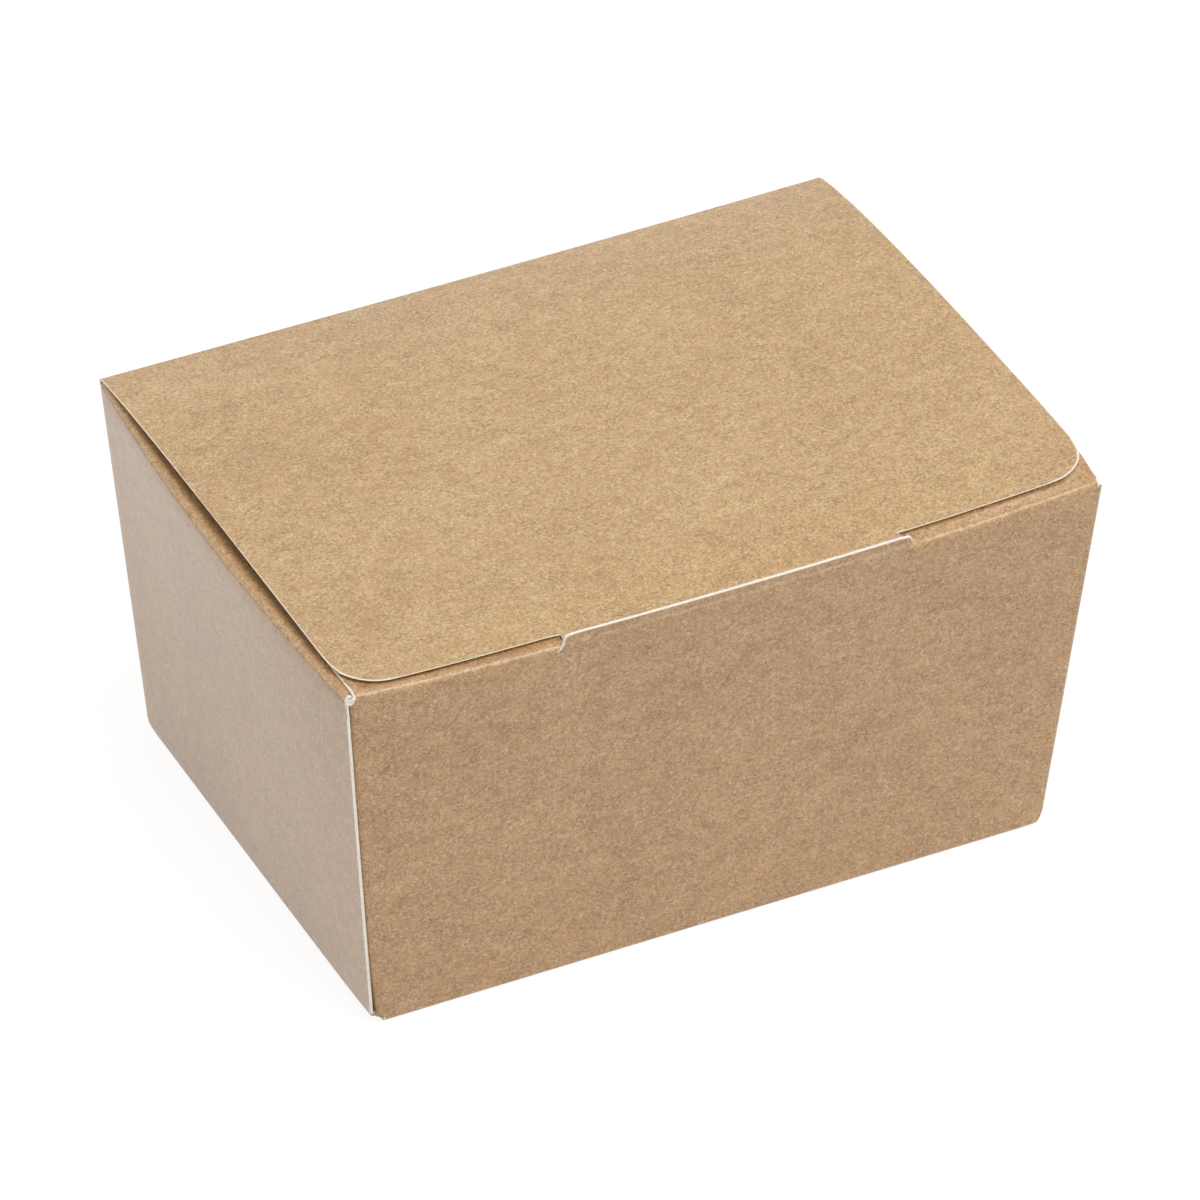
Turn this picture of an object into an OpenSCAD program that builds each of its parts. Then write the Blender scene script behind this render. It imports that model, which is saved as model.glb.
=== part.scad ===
// Closed tuck-in carton, folded and glued from one blank of thin white-cored board.
// Millimetres. The origin is the centre of the base, the front faces -Y and +Z is up.
// Sleeve, glue tab, bottom flaps, dust flaps, front flap and lip are one folded sheet and one solid.
// The lid is the same sheet beyond the back fold, and is a solid of its own because it swings.

/* [Carton] */
// Width across the base, outside
base_w = 128.4; // [115:0.1:145]
// Depth across the base, outside
base_d = 93.6; // [80:0.1:108]
// How much wider the rim is than the base
flare_w = 11.6; // [8:0.1:18]
// How much deeper the rim is than the base
flare_d = 8.9; // [6:0.1:14]
// Height of the rim at its corners
height = 74; // [55:1:95]

/* [Board] */
// Thickness of the board
board_t = 0.5; // [0.4:0.05:0.6]
// Outer radius of a fold
fold_r = 0.9; // [0.75:0.05:1.2]
// Width of the glue tab inside the left wall
tab_w = 14; // [8:1:22]
// Length of the seam's raw edge that has no flap beside it
seam_relief = 2; // [1.6:0.1:3]
// How far the glue tab stops short of the rim and of the base
tab_cut = 3; // [2:0.5:6]
// How far the left wall stands out at the seam, at the rim
seam_proud = 1.4; // [0.8:0.1:1.6]
// How far it stands out there at the base
seam_foot = 0.7; // [0.6:0.1:1]
// How far the rim's front-right corner stands out
corner_proud = 1.1; // [0:0.1:1.5]
// Thickness of the glue between two layers
glue_gap = 0.1; // [0.08:0.01:0.15]

/* [Bulge] */
// How far the front wall bellies out at the middle of the rim
front_bow = 1.5; // [0:0.1:2.5]
// How far each side wall bellies out at the middle of the rim
side_bow = 2; // [0:0.1:3]
// How far the front fold sags at its middle
front_dip = 1.2; // [0.9:0.1:1.4]
// How far the dust flaps' folds sag at their middle
side_dip = 0.4; // [0.2:0.1:1]
// How far the left dust flap's fold lies below the rim's corners
left_drop = 0.6; // [0.5:0.1:2.4]
// How far the right dust flap's fold lies below the rim's corners
right_drop = 1.7; // [1.6:0.1:2.4]
// How far the rim's corners stand up between the flaps
corner_ear = 0.6; // [0.2:0.1:0.8]

/* [Flaps] */
// Depth of the front flap under the lid
front_flap = 20; // [12:1:26]
// Length of a dust flap
dust_flap = 38; // [25:1:44]
// Corner radius of a flap's free edge
flap_corner_r = 6; // [3:0.5:8]
// Slant of the dust flaps' and side bottom flaps' edges, in degrees
flap_slant = 12; // [5:1:18]
// Notch at each end of their folds
flap_notch = 1.5; // [1:0.1:2.5]
// Slant of the front flap's side edges, in degrees
front_slant = 1; // [0.5:0.5:8]
// Notch at each end of the front flap's fold
front_notch = 0.2; // [0.1:0.1:0.6]
// Rise of the front flap's free edge, which the lid holds down
front_rise = 0.35; // [0.2:0.05:0.4]
// How much higher it rises at its right end, under the lifted lid
right_end_rise = 1.7; // [1:0.1:1.8]
// Fall of the left dust flap, which the front flap holds down, in degrees
left_fall = 5; // [4:0.5:10]
// Rise of the right dust flap, which holds the lid up, in degrees
right_rise = 4.5; // [0:0.1:4.5]

/* [Lock] */
// Width of the lip that stands up from the front wall
lip_w = 65; // [50:1:80]
// Height of the lip above the front fold
lip_h = 2.2; // [1.6:0.1:3]
// Corner radius of the lip
lip_corner_r = 1.2; // [0.6:0.1:1.5]
// How much further out the die cut at each end of the lip reaches at its foot
lip_flare = 1.3; // [0.5:0.1:1.5]
// Width of the die cut at each end of the lip
lip_cut = 0.2; // [0.2:0.1:0.6]
// Depth of the slit behind the lip
slit = 3; // [2.8:0.1:3.4]
// Side clearance of the tongue's root in the slit
tongue_clear = 0.45; // [0.4:0.05:1]
// How much narrower each side of the tongue is at its free edge
tongue_taper = 1.2; // [0.8:0.1:3]
// Length of the tongue below the lid
tongue_len = 11; // [7:0.5:15]
// Corner radius of the tongue's free edge
tongue_corner_r = 7; // [3:0.5:9]
// Clearance between the lip and the tongue
lip_clear = 0.85; // [0.8:0.05:1]

/* [Lid] */
// Setback of the lid's side edges from the rim at the back
lid_inset = 0.3; // [0.1:0.1:1]
// How much further out the lid's sides lie at the front
lid_flare = 0.5; // [0:0.1:0.8]
// Setback of the lid's front edge from the rim
lid_setback = 1.45; // [1.2:0.05:2]
// Radius of the lid's front corners
lid_corner_r = 8; // [4:0.5:14]
// Height of the lid's left side above the rim
lift_left = 0.9; // [0.9:0.1:2]
// Height of the lid's right side above the rim
lift_right = 3.6; // [3.4:0.1:4.5]
// How far the tongue pulls the lid's front edge down
lid_sink = 1.7; // [1.4:0.05:1.8]
// Gap under the lid's back edge, where the board bends
hinge_drop = 0.65; // [0.62:0.01:0.9]

/* [Bottom] */
// Length of the side flaps that lie inside the bottom
side_flap = 30; // [20:1:40]
// Offset of the two halves of the bottom's centre joint
joint_step = 6; // [3:0.5:10]
// Half width of the joint's slanted stretch
joint_run = 9; // [5:0.5:14]
// Gap along the joint
joint_gap = 0.4; // [0.2:0.1:0.8]
// Reach of each locking tongue past the joint
lock_reach = 11; // [7:0.5:15]
// Width of each locking tongue
lock_w = 20; // [12:1:22]
// Depth of the diagonal creases under the bottom
crease_depth = 0.12; // [0.05:0.01:0.2]

/* [Hidden] */

// The walls in the order that the blank runs, with the directions that they face
LEFT = 0;
BACK = 1;
RIGHT = 2;
FRONT = 3;
TAB = 4;
OUT = [[-1, 0], [0, 1], [1, 0], [0, -1], [-1, 0], [0, 1]];
// Stretches of the blank from its bottom flaps to its top flaps
SOLE = 0;
HEEL = 1;
WALL = 2;
FOLD = 3;
SLIT = 4;
FLAP = 5;
// Stretches of the lid: its panel, the bend at its front edge and the tongue
PANEL = 0;
BEND = 1;
TONGUE = 2;
// Facets along each stretch
ARC_N = 3;
WALL_N = 6;
FLAP_N = 4;
SIDE_N = 12;
BACK_N = 6;
TAB_N = 2;
SHOULDER_N = 5;
LIP_N = 8;
LIP_CORNER_N = 3;
LID_N = 12;
RISE_N = 14;
CORNER_N = 5;

// Height of the rim's stub beside the seam, above the start of the front wall's fold
seam_stub = 0.2;
// Distance from the front wall in which the glue tab's top falls from the rim
tab_step = 1;
// Flat start of each bottom flap past its fold, and its overlap with the flap's plate
sole_w = 1.2;
sole_lap = 0.6;
top_w = base_w + flare_w;
top_d = base_d + flare_d;
// Middle of the board at the back fold, which the lid turns about
hinge_y = top_d / 2 - board_t / 2;
hinge_z = height - board_t / 4;
lid_w = top_w - 2 * lid_inset;
lid_front = -top_d / 2 + lid_setback;
lid_len = hinge_y - lid_front;
tongue_w = lip_w - 2 * tongue_clear;
tongue_bend_r = 1.1;
// Power by which the front flap bends up near its fold
flap_curve = 0.45;
// Height over which the flare of the lip's cut fades into the wall below
flare_fade = 14;
// Share of the lip's height at its last row below the top
lip_top_row = 0.75;
// Power by which the lid's rows crowd towards the back fold, where it bends most
crowding = 1.4;
// Corner radius of the bottom's locking tongues
lock_corner_r = 2;
// Distance of a diagonal crease from the corner of its flap
crease_start = 3;
// Share of the lid's length in which it rises from the back fold
spring = 0.1;
// Share of its lift that the lid loses towards the front
settle = 0.45;
lid_colour = "#cbab82";
carton_colour = "#b4946f";

function mix(a, b, f) = a + (b - a) * f;
function wide(s) = s == BACK || s == FRONT;

// Half length of a wall, and its distance from the middle, at a share v of the height
function half_w(v) = mix(base_w, top_w, v) / 2;
function half_d(v) = mix(base_d, top_d, v) / 2;
function across(s, v) = wide(s) ? half_w(v) : half_d(v);
function seam_out(v) = mix(seam_foot, seam_proud, sqrt(v));
function proud(s, along, v) = s == LEFT || s == TAB ? seam_out(v) * (1 - along / half_d(v)) / 2
    : s == RIGHT ? corner_proud * v * (1 + along / half_d(v)) / 2 : 0;
function reach(s, v, along) = (wide(s) ? half_d(v) : half_w(v)) + proud(s, along, v)
    - (s == TAB ? board_t + glue_gap : 0);

// Where a wall starts and ends along its length. The left wall starts in the raw edge of the seam.
function start_at(s, v) = -across(s, v) + (s == LEFT ? 0 : fold_r) - (s == FRONT ? corner_proud * v : 0);
function end_at(s, v) = s == TAB ? -across(s, v) + tab_w
    : across(s, v) - fold_r + (s == FRONT ? seam_out(v) - board_t - glue_gap : 0);

// Belly of a wall, none at its corners and none at the base
function bow(s) = s == FRONT ? front_bow : s == BACK ? 0 : side_bow;
function belly(s, along, v) = bow(s) * max(0, 1 - pow(along / (across(s, v) - fold_r), 2)) * v * v;

// Heights between which a wall is straight, from its bottom fold to its top fold
function foot_z(s) = s == TAB ? tab_cut : fold_r + (wide(s) ? 0 : board_t + glue_gap);
function drop(s, u) = s == FRONT ? 0 : s == RIGHT ? right_drop : u <= stub_u ? -seam_stub : left_drop;
function dip(s, u) = (s == FRONT ? front_dip : side_dip) * (1 - pow(u, s == FRONT ? 4 : 2));
function top_z(s, u) = s == BACK ? hinge_z - hinge_drop
    : height - fold_r - (s == TAB ? (u > -1 ? tab_cut : 0) : drop(s, u) + dip(s, u));

// A point on a wall: u runs from -1 to 1 along it, and depth is 0 outside and board_t inside
function wall_point(s, u, z, depth) = let (
    v = z / height,
    along = mix(start_at(s, v), end_at(s, v), (u + 1) / 2),
    out = reach(s, v, along) + belly(s, along, v) - depth
) concat(along * OUT[s + 1] + out * OUT[s], [z]);

// A point on the rounded corner between a wall and the next, whose rim stands up between the flaps
function corner_point(s, angle, f, depth) = let (
    foot = mix(foot_z(s), foot_z(s + 1), angle / 90),
    rim = mix(top_z(s, 1), top_z(s + 1, -1), angle / 90) + corner_ear * sin(2 * angle),
    z = mix(foot, rim, f),
    v = z / height,
    centre = (reach(s, v, across(s, v)) - fold_r) * OUT[s]
        + (reach(s + 1, v, -across(s + 1, v)) - fold_r) * OUT[s + 1],
    r = fold_r - depth
) concat(centre + r * cos(angle) * OUT[s] + r * sin(angle) * OUT[s + 1], [z]);

// A point on a fold: turn is 0 at the wall and 90 where the flap starts, and up is 1 or -1
function fold_point(s, u, turn, up, depth) = let (
    z = up > 0 ? top_z(s, u) : foot_z(s),
    root = wall_point(s, u, z, fold_r),
    r = fold_r - depth
) root + concat(r * cos(turn) * OUT[s], [up * r * sin(turn)]);

// Length of a round-cornered edge at x, short of its full length in the corners
function rounded(x, half, r) = let (over = max(0, abs(x) - half + r)) r - sqrt(max(0, r * r - over * over));

// A point on a top flap, at a distance q from its fold
function flap_len(s) = s == FRONT ? front_flap : dust_flap;
function flap_rise(s, u, q) = s == FRONT
    ? (front_rise * (1 - pow(u, 4)) + right_end_rise * pow(max(0, -u), 3)) * pow(q / front_flap, flap_curve)
    : s == LEFT ? -q * tan(left_fall)
    : q * tan(right_rise) * pow(1 - u * u, 3);
function flap_point(s, u, q, depth) = let (
    root = fold_point(s, u, 90, 1, depth),
    notch = s == FRONT ? front_notch : flap_notch,
    inset = notch * min(1, q / notch) + q * tan(s == FRONT ? front_slant : flap_slant)
) root + concat(-q * OUT[s] - u * inset * OUT[s + 1], [flap_rise(s, u, q)]);
function flap_q(s, u, f) = let (
    half = across(s, 1) - fold_r,
    tip_half = half - (s == FRONT ? front_notch : flap_notch)
        - flap_len(s) * tan(s == FRONT ? front_slant : flap_slant),
    full = flap_len(s) - rounded(u * tip_half, tip_half, flap_corner_r)
) mix(slit - fold_r, full, f);

// Columns of the blank: [wall, share along it or angle round the corner after it, is it a corner]
lip_u = lip_w / (top_w - 2 * fold_r);
// The die cut at the lip's ends flares towards the fold: a share u at a height h above the fold's start
function spread(s, u, h) = let (
    rest = max(0, 1 - abs(h) / (h < 0 ? flare_fade : lip_h + fold_r)),
    shift = 2 * lip_flare * pow(rest, 3) / top_w
) s != FRONT ? u
    : abs(u) <= lip_u ? u * (1 + shift / lip_u)
    : sign(u) * (abs(u) + shift * (1 - abs(u)) / (1 - lip_u));
cut_u = lip_u + 2 * lip_cut / top_w;
function even(n) = [for (i = [0:n]) -1 + 2 * i / n];
lip_flat = 1 - 2 * lip_corner_r / lip_w;
lip_corner = [for (i = [0:LIP_CORNER_N - 1]) mix(1, lip_flat, 1 - cos(90 * i / LIP_CORNER_N))];
lip_shares = lip_u * concat(-lip_corner, lip_flat * even(LIP_N), [for (i = [LIP_CORNER_N - 1:-1:0]) lip_corner[i]]);
front_shoulder = [for (i = [0:SHOULDER_N]) mix(-1, -cut_u, i / SHOULDER_N)];
seam_u = -1 + 2 * seam_relief / top_d;
stub_u = -1 + 2 * (seam_relief - board_t) / top_d;
tab_u = -1 + 2 * tab_step / (tab_w - fold_r);
function shares(s) = s == LEFT
    ? concat([-1, stub_u], [for (i = [0:SIDE_N]) mix(seam_u, 1, i / SIDE_N)])
    : s == FRONT
    ? concat(front_shoulder, lip_shares, [for (i = [SHOULDER_N:-1:0]) -front_shoulder[i]])
    : s == TAB ? concat([-1], [for (i = [0:TAB_N]) mix(tab_u, 1, i / TAB_N)])
    : even(s == BACK ? BACK_N : SIDE_N);
columns = [for (s = [LEFT:TAB]) each concat(
    [for (u = shares(s)) [s, u, false]],
    s == TAB ? [] : [for (i = [1:ARC_N]) [s, 90 * i / (ARC_N + 1), true]]
)];
function in_lip(c) = c[0] == FRONT && !c[2] && abs(c[1]) < (lip_u + cut_u) / 2;

// Rows of the blank: [stretch, share of it]
rows = concat(
    [[SOLE, 1]],
    [for (i = [ARC_N:-1:1]) [HEEL, i / ARC_N]],
    [for (i = [0:WALL_N]) [WALL, i / WALL_N]],
    [for (i = [1:ARC_N]) [FOLD, i / ARC_N]],
    [[SLIT, 0.5], [SLIT, 1]],
    [for (i = [1:FLAP_N]) [FLAP, i / FLAP_N]]
);

// Height of a point on the lip, whose top corners are rounded
function lip_share(row) = row[0] == SLIT ? 1 : row[1] * lip_top_row;
function lip_point(u, row, depth) = let (
    low = rounded(u * lip_w / (2 * lip_u), lip_w / 2, lip_corner_r),
    z = top_z(FRONT, u) + (fold_r + lip_h - low) * lip_share(row)
) wall_point(FRONT, spread(FRONT, u, z - top_z(FRONT, u)), z, depth);

function blank_point(c, row, depth) = let (s = c[0], u = c[1], f = row[1])
    c[2] ? corner_point(s, u, row[0] < WALL ? 0 : row[0] > WALL ? 1 : f, depth)
    : row[0] == SOLE ? fold_point(s, u, 90, -1, depth) - concat(sole_w * (OUT[s] + u * OUT[s + 1]), [0])
    : row[0] == HEEL ? fold_point(s, u, 90 * f, -1, depth)
    : row[0] == WALL ? let (z = mix(foot_z(s), top_z(s, u), f))
        wall_point(s, spread(s, u, z - top_z(s, u)), z, depth)
    : in_lip(c) && (row[0] == FOLD || f < 1 && row[0] == SLIT) ? lip_point(u, row, depth)
    : row[0] == FOLD ? fold_point(s, spread(s, u, fold_r * f), 90 * f, 1, depth)
    : row[0] == SLIT ? flap_point(s, spread(s, u, fold_r + (slit - fold_r) * f), (slit - fold_r) * f, depth)
    : flap_point(s, u, flap_q(s, u, f), depth);

// Whether the blank has board between two columns and two rows
function has_board(a, b, low, high) = let (
    same = a[0] == b[0] && !a[2] && !b[2] && !(a[0] == LEFT && a[1] <= stub_u),
    flap = same && (a[0] == LEFT || a[0] == RIGHT || a[0] == FRONT)
) low[0] < WALL ? same && a[0] != TAB
    : high[0] == WALL ? true
    : high[0] == FLAP ? flap
    : high[0] == SLIT && high[1] == 1 ? flap && !in_lip(a) && !in_lip(b)
    : flap && in_lip(a) == in_lip(b);

// Closed sheet of board: two grids of points, its faces, and which cells between them hold board
module sheet(outside, inside, cells) {
    m = len(outside);
    n = len(outside[0]);
    function id(i, j) = i * n + j;
    function under(k) = k + m * n;
    function cell(i, j) = i >= 0 && j >= 0 && i < m - 1 && j < n - 1 && cells[i][j];
    function halves(a, b, c, d) = [[a, b, c], [a, c, d]];
    function edge(a, b) = halves(b, a, under(a), under(b));
    faces = [for (i = [0:m - 2]) for (j = [0:n - 2]) if (cell(i, j)) let (
        a = id(i, j), b = id(i + 1, j), c = id(i + 1, j + 1), d = id(i, j + 1)
    ) each concat(
        halves(a, b, c, d),
        halves(under(d), under(c), under(b), under(a)),
        cell(i, j - 1) ? [] : edge(a, b),
        cell(i + 1, j) ? [] : edge(b, c),
        cell(i, j + 1) ? [] : edge(c, d),
        cell(i - 1, j) ? [] : edge(d, a)
    )];
    polyhedron(points = concat([for (column = outside) each column], [for (column = inside) each column]),
        faces = faces, convexity = 6);
}

module folded_blank() {
    sheet(
        [for (c = columns) [for (row = rows) blank_point(c, row, 0)]],
        [for (c = columns) [for (row = rows) blank_point(c, row, board_t)]],
        [for (i = [0:len(columns) - 2]) [for (j = [0:len(rows) - 2])
            has_board(columns[i], columns[i + 1], rows[j], rows[j + 1])]]
    );
}

// Flat outline with rounded free corners, from y1 to y2, of which the corners at y2 are rounded
module tongue_shape(x1, x2, y1, y2, r) {
    hull() {
        translate([x1, y1]) square([x2 - x1, r]);
        for (x = [x1 + r, x2 - r]) translate([x, y2 - r]) circle(r, $fn = 24);
    }
}

// Half of the bottom's outer layer, hinged on the front wall, with its diagonal glue crease
module main_bottom_flap() {
    half = base_w / 2 - fold_r;
    root = -base_d / 2 + fold_r + sole_w - sole_lap;
    long_y = joint_step - joint_gap / 2;
    short_y = -joint_step - joint_gap / 2;
    crease_len = sqrt(2) * (base_d / 2 - joint_step - 2 * crease_start);
    difference() {
        linear_extrude(board_t) {
            hull() {
                tongue_shape(-half, -joint_run, root, long_y, board_t);
                translate([-joint_run, root]) square([2 * joint_run, short_y - root]);
            }
            hull() tongue_shape(-joint_run, half, root, short_y, board_t);
        }
        translate([half - crease_start, root + crease_start, 0]) rotate(135) translate([0, -board_t / 2, -board_t])
            cube([crease_len, board_t, board_t + crease_depth]);
    }
    translate([joint_run + board_t, 0, board_t]) linear_extrude(board_t)
        hull() tongue_shape(0, lock_w, short_y - lock_reach, short_y + lock_reach, lock_corner_r);
}

// Bottom flap of a side wall, which lies on the outer layer
module side_bottom_flap() {
    half = base_d / 2 - fold_r - flap_notch;
    root = base_w / 2 - fold_r - sole_w + sole_lap;
    translate([0, 0, board_t + glue_gap]) linear_extrude(board_t) hull() {
        translate([root - board_t, -half]) square([board_t, 2 * half]);
        for (y = [-1, 1]) translate([
            root - side_flap + flap_corner_r,
            y * (half - side_flap * tan(flap_slant) - flap_corner_r)
        ])
            circle(flap_corner_r, $fn = 24);
    }
}

module carton() {
    color(carton_colour) union() {
        folded_blank();
        for (turn = [0, 180]) rotate(turn) {
            main_bottom_flap();
            side_bottom_flap();
        }
    }
}

// Height of the middle of the lid's board: it springs up from the back fold, more on the right,
// and its tongue pulls the front edge down
function lid_z(x, y) = let (
    run = (hinge_y - y) / lid_len,
    lift = mix(lift_left, lift_right, x / lid_w + 0.5),
    pull = lid_sink * (1 - pow(abs(2 * x / lid_w), 3)) * pow(run, 8)
) hinge_z + lift * (1 - exp(-run / spring)) * (1 - settle * pow(run, 3)) - pull;

// Columns of the lid: round corners, shoulders and tongue
corner_x = [for (i = [0:CORNER_N]) -lid_w / 2 + lid_corner_r * (1 - cos(90 * i / CORNER_N))];
shoulder_x = [for (i = [1:SHOULDER_N - 1])
    mix(-lid_w / 2 + lid_corner_r, -tongue_w / 2, i / SHOULDER_N)];
tongue_x = [for (i = [0:LID_N]) mix(-tongue_w / 2, tongue_w / 2, i / LID_N)];
left_x = concat(corner_x, shoulder_x);
lid_x = concat(left_x, tongue_x, [for (i = [len(left_x) - 1:-1:0]) -left_x[i]]);

// Rows of the lid: from the back fold to its front edge, round the bend and down the tongue
lid_rows = concat(
    [for (i = [0:RISE_N]) [PANEL, pow(i / RISE_N, crowding)]],
    [for (i = [1:ARC_N]) [BEND, i / ARC_N]],
    [for (i = [1:ARC_N]) [TONGUE, i / ARC_N]]
);

// Back of the lip at the ends of the tongue, where the front wall bellies out least
lip_back = reach(FRONT, 1, 0) + belly(FRONT, tongue_w / 2, 1) - board_t;
tongue_out = lip_back - lip_clear;
// The tongue follows an arc about the back fold, so that it slides straight out past the lip
swing_r = tongue_out + hinge_y;

function lid_point(x, row, depth) = let (
    half_t = board_t / 2 - depth,
    y_end = lid_front + rounded(x, lid_w / 2, lid_corner_r),
    y = mix(hinge_y, y_end, row[1]),
    flare = 2 * lid_flare / lid_w * (row[0] == PANEL ? (hinge_y - y) / lid_len : 1),
    taper = row[0] == TONGUE ? 2 * tongue_taper / tongue_w * row[1] : 0,
    x_out = x * (1 + flare - taper),
    root_z = lid_z(x, lid_front) + board_t / 2,
    r = tongue_bend_r - depth,
    bend_y = -tongue_out + tongue_bend_r,
    down = row[0] < TONGUE ? 0 : row[1] * (tongue_len - rounded(x, tongue_w / 2, tongue_corner_r)),
    z = root_z - tongue_bend_r - down,
    back = swing_r - sqrt(pow(swing_r, 2) - pow(hinge_z - z, 2))
) row[0] == PANEL ? [x_out, y, lid_z(x, y) + half_t]
    : row[0] == BEND ? [x_out, bend_y - r * sin(90 * row[1]), root_z - tongue_bend_r + r * cos(90 * row[1])]
    : [x_out, bend_y - r + back, z];

function has_lid(a, b, high) = high[0] == PANEL || abs(a + b) < tongue_w;

module lid() {
    color(lid_colour) sheet(
        [for (x = lid_x) [for (row = lid_rows) lid_point(x, row, 0)]],
        [for (x = lid_x) [for (row = lid_rows) lid_point(x, row, board_t)]],
        [for (i = [0:len(lid_x) - 2]) [for (j = [0:len(lid_rows) - 2])
            has_lid(lid_x[i], lid_x[i + 1], lid_rows[j + 1])]]
    );
}

carton();
lid();
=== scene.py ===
import math

import bmesh
import bpy
import numpy as np
from mathutils import Matrix, Vector, kdtree


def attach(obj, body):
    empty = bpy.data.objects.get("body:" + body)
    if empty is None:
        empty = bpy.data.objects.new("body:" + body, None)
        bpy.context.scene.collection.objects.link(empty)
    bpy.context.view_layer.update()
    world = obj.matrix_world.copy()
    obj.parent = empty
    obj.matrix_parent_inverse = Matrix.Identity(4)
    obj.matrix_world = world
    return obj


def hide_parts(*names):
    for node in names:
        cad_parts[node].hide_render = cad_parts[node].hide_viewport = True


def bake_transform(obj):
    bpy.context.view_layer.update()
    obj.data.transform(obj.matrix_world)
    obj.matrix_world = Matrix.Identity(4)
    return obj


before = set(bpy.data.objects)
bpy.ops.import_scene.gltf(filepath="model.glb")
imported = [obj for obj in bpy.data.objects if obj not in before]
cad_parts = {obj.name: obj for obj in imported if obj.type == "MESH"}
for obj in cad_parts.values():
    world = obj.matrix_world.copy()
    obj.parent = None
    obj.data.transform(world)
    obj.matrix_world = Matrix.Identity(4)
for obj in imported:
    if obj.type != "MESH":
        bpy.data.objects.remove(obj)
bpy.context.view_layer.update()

# Sizes in millimetres, as in the part's source. Meshes are turned into metres when they are made.
MM = 0.001
BASE_W, BASE_D, FLARE_W, FLARE_D, HEIGHT = 128.4, 93.6, 11.6, 8.9, 74.0
TOP_W, TOP_D = BASE_W + FLARE_W, BASE_D + FLARE_D
BOARD, FOLD_R, GLUE = 0.5, 0.9, 0.1
# The glue tab and the seam at the front-left corner
TAB_W, TAB_CUT, TAB_FOOT, TAB_STEP = 14.0, 3.0, 1.6, 1.0
SEAM_RELIEF, SEAM_PROUD, SEAM_FOOT, SEAM_STUB, STUB_SHARE = 0.4, 1.4, 0.7, 0.2, 0.35
GROOVE, GROOVE_TOP = 0.9, 0.2                           # the gap beside the seam's foot
# Corners, and the bow and dip of the walls
CORNER_PROUD, CORNER_EAR = 1.1, 0.6
FRONT_BOW, SIDE_BOW, FRONT_DIP, SIDE_DIP, LEFT_DROP, RIGHT_DROP = 1.5, 2.0, 1.2, 0.4, 0.6, 1.7
LEFT_FOOT_RISE = 0.65
ROUND_WIDE, ROUND_SIDE, CORNER_ROUND = 0.25, 0.6, 1.15  # how the feet of the corners are rounded off
SOLE_W = 1.2                                            # the strip of each wall turned in under the bottom
# Front flap and dust flaps
FRONT_FLAP, DUST_FLAP, FLAP_CORNER, FLAP_SLANT, FLAP_NOTCH = 20.0, 38.0, 6.0, 12.0, 1.5
FRONT_SLANT, FRONT_NOTCH, RIGHT_FLARE = 1.0, 0.2, 0.25
LEFT_FALL, RIGHT_RISE = 5.0, 4.5
LID_GAP, RISE_RUN, RISE_END = 0.3, 0.2, 5.0             # how the front flap rises to just under the lid
# Lip, slit and tongue
LIP_W, LIP_H, LIP_CORNER, LIP_CUT, SLIT_D, LIP_MIDDLE = 65.0, 2.2, 0.9, 0.2, 3.0, 0.8
LIP_FLARE, LIP_FLARE_RIGHT, FLARE_FADE = 1.0, 0.25, 14.0
LIP_SLIDE, LIP_SKEW, TONGUE_LEFT_IN = 0.84, 0.8, 0.95   # the lip and the tongue sit a little to the right
TONGUE_CLEAR, TONGUE_TAPER, TONGUE_LEN, TONGUE_CORNER = 0.45, 1.2, 11.0, 7.0
LIP_CLEAR, TONGUE_BEND = 0.85, 1.1
# Lid
LID_INSET, LID_SETBACK, LID_CORNER, LID_FLARE = 0.3, 1.45, 8.0, 0.5
LIFT_LEFT, LIFT_RIGHT, LID_SINK, HINGE_DROP, SPRING, SETTLE = 0.9, 3.6, 1.7, 0.65, 0.13, 0.45
BACK_LEFT, BACK_RIGHT, BACK_CURVE = -0.45, 1.0, 1.7     # height of the lid's back edge over the hinge
# Bottom
SIDE_FLAP, JOINT_STEP, JOINT_RUN, JOINT_GAP, LOCK_REACH, LOCK_W = 30.0, 6.0, 9.0, 0.4, 11.0, 20.0
BOTTOM_HEM, MAIN_CORNER, LOCK_CORNER = 0.9, 0.5, 2.0
# Raw edges: the rounded arris, how far the die draws the lower edge in, and as a share of the way across
ARRIS, UNDERCUT, UNDERCUT_MOST = 0.2, 0.75, 0.85
MERGE = 0.002                                           # points closer than this are one
RIM_MIN, RIM_FAR = 0.25, 9.0                            # beyond the pale rub and painted highlight along a raw edge

HINGE_Y = TOP_D / 2 - BOARD / 2
HINGE_Z = HEIGHT - BOARD / 4
LID_W = TOP_W - 2 * LID_INSET
LID_FRONT = -TOP_D / 2 + LID_SETBACK
LID_LEN = HINGE_Y - LID_FRONT
TONGUE_W = LIP_W - 2 * TONGUE_CLEAR
LID_START = TOP_D / 2 - FOLD_R          # where the lid meets the strip that bends over the back fold

# The walls in their order round the box, and the way that each faces
LEFT, BACK, RIGHT, FRONT, TAB = range(5)
OUT = np.array([[-1, 0], [0, 1], [1, 0], [0, -1], [-1, 0], [0, 1]], float)
# The stretches of the blank, from the bottom's edge to the flap's
SOLE, HEEL, WALL, FOLD, SLIT, FLAP = range(6)
# The stretches of the lid
PANEL, BEND, TONGUE = range(3)
# Mesh columns and rows along each stretch
ARC_N, WALL_N, FLAP_N, SIDE_N, BACK_N, TAB_N = 6, 18, 8, 44, 40, 4
SHOULDER_N, LIP_N, END_STEPS = 16, 40, (0.6, 1.4)
LID_SIDE_N, LID_N, RISE_N, CREASE_N = 16, 36, 44, 8
# Angles round a corner, of which the first step is wide enough for the rounded arris
LIP_CORNER_ANGLES = [0, 42, 60, 76]
LID_CORNER_ANGLES = [0, 24] + list(range(34, 90, 8)) + [90]

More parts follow.
